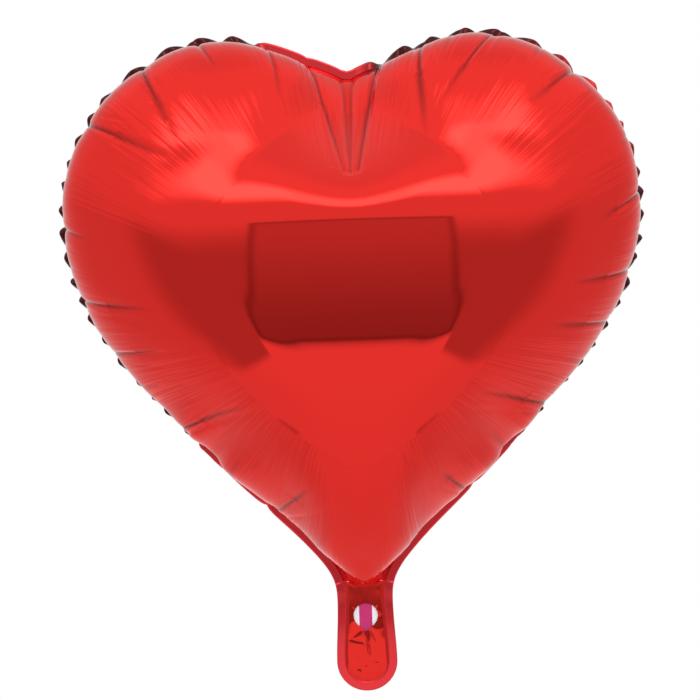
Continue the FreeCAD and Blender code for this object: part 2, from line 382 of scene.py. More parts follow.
def round_off(patch, rings, near=.015, far=.085):
    """Takes the middle of the sheet to one smooth crowned form. Film nearer the seam than near stays."""
    seam, grids = rings[[0, 2], -1], (patch, rings)
    shares, powers, want = [], [], []
    for grid in grids:
        gap = np.full(grid.shape[1:], 9.0)
        for sx, sz in seam[:, ::2].T:
            gap = np.minimum(gap, (grid[0] - sx) ** 2 + (grid[2] - sz) ** 2)
        share = smooth((np.sqrt(gap) - near) / (far - near))
        shares.append(share)
        powers.append((crown_powers(grid[0], grid[2]) * share[..., None]).reshape(gap.size, -1))
        want.append(((grid[1] - crowned(grid[0], grid[2])) * share).ravel())
    terms = np.linalg.lstsq(joined(powers), joined(want), rcond=None)[0]
    for grid, share in zip(grids, shares):
        move = crowned(grid[0], grid[2]) + crown_powers(grid[0], grid[2]) @ terms - grid[1]
        flattening = move * (1 - smooth((grid[2] - LOBES_FROM) / LOBES_OVER))
        grid[1] += share * np.where(move > 0, flattening, move)


# How far the sheet stands out beyond the seam, against the share of the way from the cleft to the throat.
OVERHANG = [(0, 0), (.50, 0), (.57, .0018), (.66, .0034), (.84, .0036), (.92, .0010), (.96, 0)]
OVERHANG_AT = .014  # distance from the seam at which the sheet is moved the most
CLEFT_FADE, THROAT_FADE = .05, .06  # shares of the seam over which the move fades out at its two ends
BLUR, BLUR_REACH = 9, 24  # how far the move is evened out along the seam, in spokes


def lean_out(rings):
    """Moves the sheet beside the seam outwards or inwards until it overhangs by about OVERHANG."""
    spokes = rings.shape[2]
    half = spokes // 2
    seam = rings[[0, 2], -1].T
    out = seam_normals(seam)
    beyond = (rings[0] - seam[:, 0]) * out[:, 0] + (rings[2] - seam[:, 1]) * out[:, 1]
    share = lengths(seam[:half + 1])
    share /= share[half - feet_of(spokes)]
    share = joined([share, share[1:half][::-1]])
    want = np.interp(share, *np.array(OVERHANG).T)
    u = inwards_of(rings) / OVERHANG_AT
    bump = u * np.exp(1 - u)
    low, high = np.full(spokes, -.012), np.full(spokes, .03)
    for _ in range(24):
        middle = (low + high) / 2
        over = (beyond + middle * bump).max(0) > want + 1e-5
        low, high = np.where(over, low, middle), np.where(over, middle, high)
    amount = low * np.clip((1 - share) / THROAT_FADE, 0, 1) * np.clip(share / CLEFT_FADE, 0, 1)
    window = np.exp(-(np.arange(-BLUR_REACH, BLUR_REACH + 1) / BLUR) ** 2)
    wrapped = joined([amount[-BLUR_REACH:], amount, amount[:BLUR_REACH]])
    amount = np.convolve(wrapped, window / window.sum(), "valid")
    rings[0] += amount * bump * out[:, 0]
    rings[2] += amount * bump * out[:, 1]


# ---- creases, pillows and ripples
# Each crease: side (+1 right, -1 left), share of the way from the cleft to the throat, reach into the film,
# depth, and how far it leans towards the throat as it runs inwards.
CREASES = [
    (1, .006, .085, .0006, -.02), (1, .036, .075, .0011, -.05), (1, .096, .060, .0012, .22),
    (1, .140, .012, .0005, 0), (1, .188, .040, .0012, -.15), (1, .240, .014, .0005, 0),
    (1, .287, .034, .0016, -.1), (1, .335, .012, .0005, 0), (1, .375, .014, .0005, .1),
    (1, .438, .030, .0014, .1), (1, .487, .012, .0004, 0), (1, .532, .038, .0012, 0),
    (1, .599, .036, .0012, 0), (1, .655, .012, .0005, 0), (1, .717, .040, .0016, .15),
    (1, .790, .010, .0004, 0), (1, .853, .018, .0012, .2),
    (-1, .007, .085, .0006, -.02), (-1, .048, .065, .0010, -.1), (-1, .104, .028, .0008, .1),
    (-1, .184, .018, .0010, 0), (-1, .246, .046, .0015, .2), (-1, .300, .010, .0004, 0),
    (-1, .347, .052, .0018, -.15), (-1, .404, .010, .0004, 0), (-1, .462, .024, .0010, 0),
    (-1, .505, .010, .0004, 0), (-1, .548, .042, .0013, 0), (-1, .620, .030, .0013, 0),
    (-1, .674, .010, .0004, 0), (-1, .735, .042, .0016, .15), (-1, .817, .010, .0004, 0),
    (-1, .879, .026, .0016, .3)]
DEEP = .0009  # creases at least this deep bound the pillows


def lattice(rng, x, y, columns=512, rows=64):
    """Smooth random heights, about -1 to 1, at lattice coordinates x and y."""
    table = rng.uniform(-1, 1, (columns, rows))
    xi, yi = np.floor(x).astype(int), np.floor(y).astype(int)
    u, w = smooth(x - xi), smooth(y - yi)

    def at(column, row):
        return table[column % columns, row % rows]

    return ((at(xi, yi) * (1 - u) + at(xi + 1, yi) * u) * (1 - w)
            + (at(xi, yi + 1) * (1 - u) + at(xi + 1, yi + 1) * u) * w)


def place_of(side, share, total, side_length):
    """The place along the closed seam that is this share of the way down one side."""
    return share * side_length if side > 0 else total - share * side_length


def from_place(seam_at, place, total):
    """Distance of each spoke past a place on the closed seam, negative before it."""
    return (seam_at - place + total / 2) % total - total / 2


SHOULDER = .020  # film this near the seam is side-on from the front
DENT = 1.1  # a crease's dent, against the depth in the list
LINE, LINE_SPACINGS = .0010, .85  # width of a crease's line, and the least of it in mesh spacings
WIDENING, RISE_OVER = .006, .0035  # a dent's widening inwards, and how soon it starts beside the seam
REACHING, FULL_SHADE_DEPTH = 1.35, .0012  # end of a crease against its reach, and the depth from which its line gets the full painted shade
CALM_SHARES, CALM = (.50, .66), (1, .35)  # the lower sides are calmer than the top
FANS, FAN_TURN, FAN_SHIFT, FAN_DEPTH = 5, .20, .006, .20  # fine creases beside each deep one
PILLOW, PILLOW_FROM, PILLOW_REACH = .0018, .012, .050  # bulge between two deep creases
NARROW_GAP, RIPPLE_REACH = .05, .060
RIPPLES = [(.00025, .009, .040), (.00010, .0042, .050)]  # height, length along the seam, length inwards


def pleat(rows, inwards, seam_at, total, side_length, seed):
    """How far each ring vertex moves outwards, and how much painted shade it gets along the creases' lines.

    seam_at is each spoke's place along the seam, which is total long.
    """
    rng = np.random.default_rng(seed)
    spacing = np.sqrt(((np.roll(rows, -1, 2) - rows) ** 2).sum(0))
    narrowing = np.clip(spacing / (total / rows.shape[2]), .3, 1.5)
    out, crease_shade = np.zeros_like(inwards), np.zeros_like(inwards)
    line = np.maximum(LINE, LINE_SPACINGS * spacing)  # no crease is drawn finer than the mesh can hold
    calm = np.interp(np.minimum(seam_at, total - seam_at) / side_length, CALM_SHARES, CALM)
    rise = 1 - np.exp(-inwards / RISE_OVER)
    for side, share, reach, depth, lean in CREASES:
        reach *= rng.uniform(.9, 1.1) if seed == 1 else rng.uniform(.6, 1.3)
        place = place_of(side, share, total, side_length)
        across = from_place(seam_at, place, total) * narrowing - side * lean * inwards
        fall = np.clip(1 - (np.maximum(inwards - SHOULDER, 0) / (REACHING * reach)) ** 2, 0, 1)
        out -= DENT * depth * calm * rise * fall * np.exp(-np.abs(across) / (line + WIDENING * inwards))
        # painted shade: a darker line of base colour along each crease
        crease_shade = np.maximum(crease_shade, min(depth / FULL_SHADE_DEPTH, 1) * fall * np.exp(-(across / line) ** 2))
        if depth < DEEP:
            continue
        for _ in range(FANS):
            fan, offset = rng.uniform(-FAN_TURN, FAN_TURN), rng.uniform(-FAN_SHIFT, FAN_SHIFT)
            near = across - offset - fan * inwards
            end = reach * rng.uniform(.9, 1.6)
            fall = np.clip(1 - (np.maximum(inwards - SHOULDER, 0) / end) ** 2, 0, 1)
            out -= FAN_DEPTH * depth * rise * fall * np.exp(-np.abs(near) / line)
    deep = sorted(place_of(side, share, total, side_length)
                  for side, share, _, depth, _ in CREASES if depth >= DEEP)
    deep = np.array([deep[-1] - total] + deep + [deep[0] + total])
    k = np.searchsorted(deep, seam_at, side="right")
    gap = deep[k] - deep[k - 1]
    arch = np.sin(np.pi * (seam_at - deep[k - 1]) / gap) ** .6 * np.minimum(1, gap / NARROW_GAP)
    bulge = PILLOW * calm * arch * (1 - np.exp(-inwards / PILLOW_FROM))
    out += bulge * np.exp(-(inwards / PILLOW_REACH) ** 2)
    fade = np.exp(-(inwards / RIPPLE_REACH) ** 2) * rise
    for height, long, deep_in in RIPPLES:
        out += height * fade * lattice(rng, seam_at / long, inwards / deep_in)
    return out, crease_shade


def ring_normals(rows):
    """Unit normals of a ring grid (3, rows, columns), pointing out of the front sheet."""
    a = np.gradient(rows, axis=1)
    b = (np.roll(rows, -1, 2) - np.roll(rows, 1, 2)) / 2
    n = np.cross(b, a, axis=0)
    n /= np.maximum(np.sqrt((n ** 2).sum(0)), 1e-12)
    return n


PITCHES, PITCH_CHANGE = (.0095, .0064), .3  # tooth pitch above and below this share of the side
BARE_LEFT, BARE_RIGHT, BARE_OVER = .048, .004, .016  # lengths beside the cleft that have no teeth
LAST_TOOTH, LAST_OVER = .80, .03  # share of the side where the teeth fade out, and over what length


def teeth(seam_at, total, side_length, seed=4):
    """The sealed band's zigzag, from about -1 to +1, each tooth's width, and how strong the zigzag is."""
    rng = np.random.default_rng(seed)
    wave, half = np.zeros_like(seam_at), np.full_like(seam_at, .01)
    for side in (1, -1):
        s = seam_at if side > 0 else (total - seam_at) % total
        knots = [0.0]
        while knots[-1] < side_length:
            share = knots[-1] / side_length
            wide = PITCHES[0] if share < PITCH_CHANGE else PITCHES[1]
            knots.append(knots[-1] + wide * rng.uniform(.7, 1.45))
        knots = np.array(knots[:len(knots) - (len(knots) + 1) % 2])
        knots *= side_length / knots[-1]
        heights = np.where(np.arange(len(knots)) % 2 == 0, -1.0, 1.0) * rng.uniform(.6, 1.15, len(knots))
        here = s <= side_length + 1e-9
        wave[here] = np.interp(s[here], knots, heights)
        half[here] = np.interp(s[here], (knots[1:] + knots[:-1]) / 2, np.diff(knots))
    away = np.minimum(seam_at, total - seam_at)
    bare = np.where(seam_at > total / 2, BARE_LEFT, BARE_RIGHT)
    begin, end = (away - bare) / BARE_OVER, (LAST_TOOTH * side_length - away) / LAST_OVER
    return wave, half, np.clip(begin, 0, 1) * np.clip(end, 0, 1)


# ---- meshes


def grid_faces(rows, columns, start=0, wrap=False):
    at = np.arange(rows * columns).reshape(rows, columns) + start
    if wrap:
        at = joined([at, at[:, :1]], 1)
    return np.stack([at[:-1, :-1], at[:-1, 1:], at[1:, 1:], at[1:, :-1]], -1).reshape(-1, 4)


def points(grid):
    return np.moveaxis(grid, 0, -1).reshape(-1, 3)


def mesh_object(name, vertices, faces, mat):
    data = bpy.data.meshes.new(name)
    data.from_pydata(np.asarray(vertices, float).tolist(), [], [list(map(int, f)) for f in faces])
    data.polygons.foreach_set("use_smooth", [True] * len(data.polygons))
    data.materials.append(mat)
    data.update()
    obj = bpy.data.objects.new(name, data)
    bpy.context.scene.collection.objects.link(obj)
    return obj


def vertex_values(obj, name, values):
    """Stores one number for each vertex, for the material to read."""
    layer = obj.data.attributes.new(name, "FLOAT", "POINT")
    layer.data.foreach_set("value", values)


def seam_map(obj, along, inwards, total):
    """A UV map of each vertex's place along the seam and distance from it, in metres."""
    data = obj.data
    corner = np.empty(len(data.loops), int)
    data.loops.foreach_get("vertex_index", corner)
    start, count = np.empty(len(data.polygons), int), np.empty(len(data.polygons), int)
    data.polygons.foreach_get("loop_start", start)
    data.polygons.foreach_get("loop_total", count)
    u = along[corner]
    most = np.repeat(np.maximum.reduceat(u, start), count)
    u = np.where(most - u > total / 2, u + total, u)
    layer = data.uv_layers.new(name="seam")
    layer.data.foreach_set("uv", np.stack([u, inwards[corner]], 1).ravel())


def dome(patch, coarse, fine, i, j):
    """Vertices and faces of one puffed sheet.

    The last row of coarse is every other vertex of the first row of fine.
    """
    n, cols = patch.shape[1] - 1, coarse.shape[2]
    vertices = [points(patch), points(coarse[:, 1:]), points(fine[:, 1:])]
    base = np.cumsum([0] + [len(v) for v in vertices])
    border = i * (n + 1) + j
    k = np.arange(cols)
    faces = list(grid_faces(n + 1, n + 1)[:, ::-1])
    faces += list(grid_faces(coarse.shape[1] - 1, cols, base[1], True))
    first, after = base[1] + k, (k + 1) % cols
    faces += list(np.stack([border, border[after], first[after], first], 1))
    last = base[1] + (coarse.shape[1] - 2) * cols + k
    row = base[2] + 2 * k
    faces += [(last[c], last[after[c]], base[2] + (2 * after[c]), row[c] + 1, row[c]) for c in k]
    faces += list(grid_faces(fine.shape[1] - 1, 2 * cols, base[2], True))
    return joined(vertices), faces


BEND_FROM, BEND_OVER = -.002, .012  # height at which the neck starts to leave its plane, and over what
WAVE, WAVE_LENGTH, WAVE_PHASE = .0009, .017, .4
CURL = .0014  # how far the neck's edges stand forward of its middle
HANG, HANG_FROM = .10, -.008  # slope at which it hangs back, and from what height


def neck_bend(x, z):
    """How far the neck stands back: flat at the fold, it waves and hangs back below."""
    wave = WAVE * np.sin(z / WAVE_LENGTH + WAVE_PHASE)
    return smooth((BEND_FROM - z) / BEND_OVER) * (wave - CURL * (x / NECK_WIDE) ** 2 - HANG * (z - HANG_FROM))


def neck_side(inset):
    """The right half of the neck's outline, from the fold down to the middle of its round end."""
    top = RIM_OUTLINE[-1] if not inset else THROAT
    centre = NECK_LOW + NECK_WIDE
    side = spline([top, (NECK_NARROW - inset, -.010), ((NECK_NARROW + NECK_WIDE) / 2 - inset, -.029),
                   (NECK_WIDE - inset, centre)], (-.25, -1), (0, -1))
    turn = np.linspace(0, np.pi / 2, 60)[1:]
    end = np.stack([np.cos(turn), -np.sin(turn)], 1) * (NECK_WIDE - inset) + [0, centre]
    return joined([side, end])


def to_segment(p, a, b):
    """Distance of points p from the segment a to b, and the share of the way along it."""
    a, d = np.array(a), np.array(b) - np.array(a)
    t = np.clip(((p - a) @ d) / (d @ d), 0, 1)
    return np.hypot(*(p - a - t[:, None] * d).T), t


# Each fold in the neck's film: its two ends, its depth, which is negative for a ridge, and its width.
FOLDS = [
    ((.0004, -.0300), (.0018, -.0470), -.0009, .0007), ((.0110, .0010), (.0062, -.0135), -.0006, .0012),
    ((-.0112, -.0010), (-.0068, -.0140), -.0005, .0012), ((-.0040, .0015), (-.0030, -.0095), .0004, .0010),
    ((.0035, .0015), (.0030, -.0095), .0004, .0010), ((.0065, -.0020), (.0120, -.0060), .0004, .0012),
    ((.0030, -.0260), (.0105, -.0450), .0005, .0020), ((-.0030, -.0270), (-.0100, -.0330), .0004, .0015),
    ((.0018, -.0470), (.0100, -.0500), -.0004, .0010), ((.0018, -.0470), (-.0060, -.0530), .0004, .0012),
    ((-.0105, -.0330), (-.0020, -.0350), .0003, .0012)]


FOLD_FRONT, FOLD_BACK = .55, .35  # the folds' depths on each film, against the list
PITCH, ROW_PITCH = .00065, .866  # mesh spacing inside the neck, and that of its rows against it
MESH_SIDE, MESH_LOW, MESH_TOP = .0135, -.0605, .003
PUFF_OVER, LOOSE_OVER = .0016, .003  # how soon the film stands off its seal, and how soon it is loose
CRUMPLED_FROM, CRUMPLED_OVER = -.046, .008  # the lower end is crumpled
LATTICE_SHIFT = 40  # keeps the lattice coordinates positive


def neck_film(seed, side, puff, hole):
    """One film of the neck inside the sealed band: vertices and triangles. side is -1 for the front."""
    edge = both_sides(resample(neck_side(SEAL), 150))
    top = np.stack([np.linspace(-THROAT[0], THROAT[0], 36)[1:-1], np.full(34, THROAT[1])], 1)
    loops = [joined([edge, top])]
    if hole:
        open_angle = math.asin(HOLE_R / HOLE_TIP)
        turn = np.linspace(-open_angle, math.pi + open_angle, 70)
        ring = np.stack([np.cos(turn), np.sin(turn)], 1) * HOLE_R + [0, HOLE_Z]
        tip = np.array([0, HOLE_Z - HOLE_TIP])
        sides = np.linspace(0, 1, 10)[1:, None]
        down, up = ring[-1] * (1 - sides) + tip * sides, tip * (1 - sides) + ring[0] * sides
        loops.append(joined([ring, down, up[:-1]]))
    gx, gz = np.meshgrid(np.arange(-MESH_SIDE, MESH_SIDE + .0001, PITCH),
                         np.arange(MESH_LOW, MESH_TOP, PITCH * ROW_PITCH))
    gx = gx + (np.arange(len(gx)) % 2 * PITCH / 2)[:, None]
    grid = np.stack([gx.ravel(), gz.ravel()], 1)
    border = joined(loops)
    far = np.sqrt(((grid[:, None] - border[None]) ** 2).sum(-1)).min(1) > PITCH * .5
    vertices = joined([border, grid[far]])
    edges, start = [], 0
    for loop in loops:
        edges += [(start + k, start + (k + 1) % len(loop)) for k in range(len(loop))]
        start += len(loop)
    found = geometry.delaunay_2d_cdt([Vector(v) for v in vertices], edges, [], 0, 1e-7)
    flat, faces = np.array([tuple(v) for v in found[0]]), found[2]
    middle = np.array([flat[list(f)].mean(0) for f in faces])

    def inside(loop):
        x, z = middle[:, :1], middle[:, 1:]
        a, b = loop[None], np.roll(loop, -1, 0)[None]
        cross = (a[..., 1] > z) != (b[..., 1] > z)
        with np.errstate(divide="ignore", invalid="ignore"):
            at = a[..., 0] + (z - a[..., 1]) * (b[..., 0] - a[..., 0]) / (b[..., 1] - a[..., 1])
        return (cross & (x < at)).sum(1) % 2 == 1

    keep = inside(loops[0])
    if hole:
        keep &= ~inside(loops[1])
    faces = [f if side > 0 else f[::-1] for f, k in zip(faces, keep) if k]
    inwards = np.sqrt(((flat[:, None] - loops[0][None]) ** 2).sum(-1)).min(1)
    rng = np.random.default_rng(seed)
    x, z = flat.T
    lift = FILM / 2 + puff * (1 - np.exp(-inwards / PUFF_OVER))
    loose = 1 - np.exp(-inwards / LOOSE_OVER)
    low = np.clip((CRUMPLED_FROM - z) / CRUMPLED_OVER, 0, 1)
    for height, wide, tall, where in ((.00016, .0055, .007, 1), (.00030, .0028, .0028, low)):
        lift += loose * where * height * lattice(rng, x / wide + LATTICE_SHIFT, z / tall + LATTICE_SHIFT)
    for a, b, depth, wide in FOLDS:
        d, t = to_segment(flat, a, b)
        taper = np.sin(np.pi * np.clip(t * .92 + .04, 0, 1)) ** .5
        lift -= loose * depth * (FOLD_BACK if side > 0 else FOLD_FRONT) * np.exp(-d / wide) * taper
    return np.stack([x, neck_bend(x, z) + side * np.maximum(lift, FILM / 2), z], 1), faces


def strip_film(name, half, low, high, y, mat):
    """A flat film of that half width, from low in the neck to high in the heart."""
    gx, gz = np.meshgrid(np.linspace(-half, half, 13), np.linspace(low, high, 90))
    grid = np.stack([gx, y + neck_bend(gx, gz), gz])
    return mesh_object(name, points(grid), grid_faces(*gx.shape), mat)


# ---- materials


def material(name, color, metallic=0.0, roughness=0.3, **more):
    m = bpy.data.materials.new(name)
    m.use_nodes = True
    shader = m.node_tree.nodes["Principled BSDF"]
    shader.inputs["Base Color"].default_value = (*color, 1)
    shader.inputs["Metallic"].default_value = metallic
    shader.inputs["Roughness"].default_value = roughness
    for key, value in more.items():
        shader.inputs[key.replace("_", " ")].default_value = value
    return m


# The foil's second colour is painted shade, laid along its crease lines.
FOIL_RED, FOIL_CREASE_SHADE = (.79, .014, .008), (.13, .001, .0005)
# The seal's second colour is painted shade for its teeth.
SEAL_RED, SEAL_TOOTH_SHADE = (.86, .035, .045), (.06, .001, .002)
red_foil = material("red_foil", FOIL_RED, 1.0, .05, Coat_Weight=.4, Coat_Roughness=.03)
sealed_foil = material("sealed_foil", (.35, .004, .006), 1.0, .22, Coat_Weight=.35, Coat_Roughness=.05)


class Nodes:
    """Adds math nodes to a material's or a world's tree."""

    def __init__(self, tree):
        self.tree = tree

    def math(self, operation, *values):
        node = self.tree.nodes.new("ShaderNodeMath")
        node.operation = operation
        for socket, value in zip(node.inputs, values):
            if isinstance(value, (int, float)):
                socket.default_value = value
            else:
                self.tree.links.new(value, socket)
        return node.outputs[0]

    plus = partialmethod(math, "ADD")
    minus = partialmethod(math, "SUBTRACT")
    times = partialmethod(math, "MULTIPLY")
    over = partialmethod(math, "DIVIDE")
    least = partialmethod(math, "MINIMUM")
    most = partialmethod(math, "MAXIMUM")

    def step(self, value, low, high):
        """0 below low, 1 above high, and smooth between them."""
        node = self.tree.nodes.new("ShaderNodeMapRange")
        node.interpolation_type = "SMOOTHSTEP"
        self.tree.links.new(value, node.inputs["Value"])
        node.inputs["From Min"].default_value, node.inputs["From Max"].default_value = low, high
        return node.outputs["Result"]

    def blend(self, share, a, b):
        """a where share is 0, b where it is 1."""
        return self.plus(self.times(self.minus(1, share), a), self.times(share, b))


def add_node(mat, kind, **inputs):
    node = mat.node_tree.nodes.new(kind)
    for key, value in inputs.items():
        socket = node.inputs[key.replace("_", " ")]
        if isinstance(value, bpy.types.NodeSocket):
            mat.node_tree.links.new(value, socket)
        else:
            socket.default_value = value
    return node


STREAKS = [((230, 11, 1), 1.0), ((560, 17, 1), .55)]  # noise along and across the seam, and height
STREAKS_FADE, STREAKS_END, STREAK_DEPTH = .035, .115, .00045


def ripple(mat):
    """Fine streaks that run inwards from the seam and fade out, as bump."""
    n, link = Nodes(mat.node_tree), mat.node_tree.links.new
    where = add_node(mat, "ShaderNodeUVMap")
    where.uv_map = "seam"
    inward = add_node(mat, "ShaderNodeSeparateXYZ", Vector=where.outputs[0]).outputs["Y"]
    fade = add_node(mat, "ShaderNodeMapRange", Value=inward, From_Min=STREAKS_FADE, From_Max=STREAKS_END,
                    To_Min=1.0, To_Max=0.0)
    fade.interpolation_type = "SMOOTHSTEP"
    heights = []
    for scale, height in STREAKS:
        stretched = add_node(mat, "ShaderNodeVectorMath")
        stretched.operation = "MULTIPLY"
        link(where.outputs[0], stretched.inputs[0])
        stretched.inputs[1].default_value = scale
        noise = add_node(mat, "ShaderNodeTexNoise", Vector=stretched.outputs[0], Scale=1.0,
                         Detail=1.5, Roughness=.5)
        heights.append(n.times(noise.outputs["Fac"], height))
    faded = n.times(n.plus(*heights), fade.outputs["Result"])
    bump = add_node(mat, "ShaderNodeBump", Strength=1.0, Distance=STREAK_DEPTH, Height=faded)
    for socket in ("Normal", "Coat Normal"):
        link(bump.outputs[0], mat.node_tree.nodes["Principled BSDF"].inputs[socket])


def vertex_share(mat, attribute):
    node = add_node(mat, "ShaderNodeAttribute")
    node.attribute_name = attribute
    return node.outputs["Fac"]


def two_tone(mat, share, plain, marked):
    """Base colour that goes from plain to marked as the share goes from 0 to 1."""
    mix = mat.node_tree.nodes.new("ShaderNodeMix")
    mix.data_type = "RGBA"
    socket = {(s.name, s.type): s for s in mix.inputs}
    socket["A", "RGBA"].default_value, socket["B", "RGBA"].default_value = (*plain, 1), (*marked, 1)
    mat.node_tree.links.new(share, socket["Factor", "VALUE"])
    colour = next(s for s in mix.outputs if s.type == "RGBA")
    mat.node_tree.links.new(colour, mat.node_tree.nodes["Principled BSDF"].inputs["Base Color"])


ripple(red_foil)
# painted shade along the creases' lines
two_tone(red_foil, vertex_share(red_foil, "crease_shade"), FOIL_RED, FOIL_CREASE_SHADE)
# painted shade on the sealed band's teeth
two_tone(sealed_foil, vertex_share(sealed_foil, "painted_tooth_shade"), SEAL_RED, SEAL_TOOTH_SHADE)


def mottled(mat, plain, marked, scale):
    """Base colour that drifts softly between two tones."""
    where = add_node(mat, "ShaderNodeTexCoord")
    noise = add_node(mat, "ShaderNodeTexNoise", Vector=where.outputs["Object"], Scale=scale, Detail=3.0)
    two_tone(mat, noise.outputs["Fac"], plain, marked)


valve_film = material("valve_film", (.92, .91, .93), 0.0, .35)
mottled(valve_film, (.96, .94, .97), (.78, .76, .82), 160.0)
release_print = material("release_print", (.62, .010, .12), 0.0, .45)
mottled(release_print, (.72, .012, .16), (.42, .008, .14), 220.0)

# ---- the film

patch, rings = blow_up()
for _ in range(2):
    patch, rings = refine(patch, rings)
round_off(patch, rings)
lean_out(rings)
join = rings.shape[1] // 2
coarse = rings[:, :join + 1]
fine = doubled(doubled(rings[:, join:], 1, before=rings[:, join - 1]), 2, wrap=True)
spokes = fine.shape[2]
border_i, border_j = patch_border(patch.shape[1] - 1)

side_curve = resample(seam_half(), spokes // 2 - feet_of(spokes) + 1)
side_length = lengths(side_curve)[-1]
seam = closed(seam_half(), spokes)
flat_seam = np.stack([seam[:, 0], 0 * seam[:, 0], seam[:, 1]])
fine += (flat_seam - fine[:, -1])[:, None] * (np.linspace(0, 1, fine.shape[1]) ** 4)[None, :, None]
seam_at = lengths(joined([seam, seam[:1]]))
total, seam_at = seam_at[-1], seam_at[:-1]
wave, half, strength = teeth(seam_at, total, side_length)
seam_out = seam_normals(seam)
NOTCH_WIDE, TOOTH_DIP = .003, .0008  # how wide a crease notches the seam, and how far teeth draw it in
TOOTH_SLOPE, TOOTH_MOST, SHIFT_REACH = .30, .0030, .006  # the zigzag front to back, and how far in it goes
notch = np.zeros(spokes)
for side, share, _, depth, _ in CREASES:
    across = np.abs(from_place(seam_at, place_of(side, share, total, side_length), total))
    notch = np.maximum(notch, DENT * depth * np.exp(-across / NOTCH_WIDE))
dip = notch + strength * TOOTH_DIP * (1 - wave) / 2
zigzag = strength * wave * np.minimum(half * TOOTH_SLOPE, TOOTH_MOST)
shift = np.stack([-seam_out[:, 0] * dip, zigzag, -seam_out[:, 1] * dip])


def sheet_with_pleats(side, seed):
    """One sheet with its creases. side is -1 for the front.

    Returns its patch, coarse and fine rings, how far the fine and the coarse ones are from the seam, and
    the painted crease shade of all rings.
    """
    flip = np.array([1, -side, 1])[:, None, None]
    near = inwards_of(fine)
    deep = inwards_of(coarse) + near[0, ::2]
    rise, crease_shade = pleat(fine, near, seam_at, total, side_length, seed)
    first = fine + ring_normals(fine) * rise
    whole = joined([coarse, fine[:, 1:3, ::2]], 1)
    rise, far_crease_shade = pleat(coarse, deep, seam_at[::2], total, side_length, seed)
    far = coarse + ring_normals(whole)[:, :-2] * rise
    first = first * flip + shift[:, None] * np.exp(-near / SHIFT_REACH)
    far = far * flip
    far[:, -1] = first[:, 0, ::2]
    crease_shade = joined([far_crease_shade[1:].ravel(), crease_shade[1:].ravel()])
    return patch * flip, far, first, near, deep, crease_shade


INNERMOST = .3  # distance from the seam that is given to film which has no streaks
pieces = {}
for name, side, seed, puff in (("front_foil", -1, 1, .0010), ("back_foil", 1, 2, .0007)):
    middle, outer, edge, near, deep, crease_shade = sheet_with_pleats(side, seed)
    middle[:, border_i, border_j] = outer[:, 0]
    vertices, faces = dome(middle, outer, edge, border_i, border_j)
    film, more = neck_film(seed, side, puff, side < 0)
    if side > 0:
        faces = [tuple(q)[::-1] for q in faces]
    faces = [tuple(q) for q in faces] + [tuple(int(v) + len(vertices) for v in q) for q in more]
    pieces[name] = mesh_object(name, joined([vertices, film]), faces, red_foil)
    plain, neck = np.zeros(middle[0].size), np.zeros(len(film))
    rows = np.tile(seam_at[::2], outer.shape[1] - 1), np.tile(seam_at, edge.shape[1] - 1)
    distance = joined([plain + INNERMOST, deep[1:].ravel(), near[1:].ravel(), neck + INNERMOST])
    seam_map(pieces[name], joined([plain, *rows, neck]), distance, total)
    # painted shade along the creases, read by the foil's material
    vertex_values(pieces[name], "crease_shade", joined([plain, crease_shade, neck]))

# ---- the sealed rim

LEAN, TOOTH_LEAN = 4, 74  # the band's lean backwards, degrees, and what the notches add to it
BAND_ROWS, NECK_POINTS = 7, 220
PALE, PALE_AT, PALE_WIDE = .85, .33, .07  # part of the right side where the teeth aren't darkened by painted shade
reach = np.zeros_like(seam)
reach[:len(side_curve)] = resample(rim_half(), len(side_curve)) - side_curve
reach[spokes // 2 + 1:] = (reach[1:spokes // 2] * MIRROR)[::-1]
lean = np.radians(LEAN + strength * TOOTH_LEAN * np.clip((1 - wave) / 2, 0, 1))
wide = np.hypot(*reach.T)
direction = np.stack([reach[:, 0] * np.cos(lean), wide * np.sin(lean), reach[:, 1] * np.cos(lean)])
across = np.linspace(0, 1, BAND_ROWS)
heart_band = (flat_seam + shift)[:, None] + direction[:, None] * across[None, :, None]

inner, outer = [both_sides(resample(neck_side(inset), NECK_POINTS))[1:-1] for inset in (SEAL, 0)]
band = inner[None] * (1 - across[:, None, None]) + outer[None] * across[:, None, None]
neck_band = np.stack([band[..., 0], neck_bend(band[..., 0], band[..., 1]), band[..., 1]])
right = heart_band[:, :, :spokes // 2 - feet_of(spokes) + 1]
left = heart_band[:, :, spokes // 2 + feet_of(spokes):]
loop = joined([right, neck_band, left], 2)
along = (np.roll(loop, -1, 2) - np.roll(loop, 1, 2))
normal = np.cross(along, np.gradient(loop, axis=1), axis=0)
normal /= np.maximum(np.sqrt((normal ** 2).sum(0)), 1e-12)
front_face, back_face = loop + normal * FILM / 2, loop - normal * FILM / 2
rows, cols = loop.shape[1:]
half_count = rows * cols
faces = list(grid_faces(rows, cols, 0, True)) + list(grid_faces(rows, cols, half_count, True)[:, ::-1])
k = np.arange(cols)
for row in (0, rows - 1):
    a, b = row * cols + k, row * cols + (k + 1) % cols
    quad = np.stack([a, b, b + half_count, a + half_count], 1)
    faces += list(quad[:, ::-1] if row == 0 else quad)
both_faces = joined([points(front_face), points(back_face)])
pieces["sealed_rim"] = mesh_object("sealed_rim", both_faces, faces, sealed_foil)
# Painted shade on the sealed band: the teeth are darkened, except on part of the right side.
place = np.minimum(seam_at, total - seam_at) / side_length
pale_part = PALE * np.exp(-((place - PALE_AT) / PALE_WIDE) ** 2) * (seam_at < total / 2)
dark = strength * (1 - pale_part)
dark = joined([dark[:right.shape[2]], np.zeros(neck_band.shape[2]), dark[-left.shape[2]:]])
vertex_values(pieces["sealed_rim"], "painted_tooth_shade", np.tile(dark, 2 * rows))

# ---- the valve

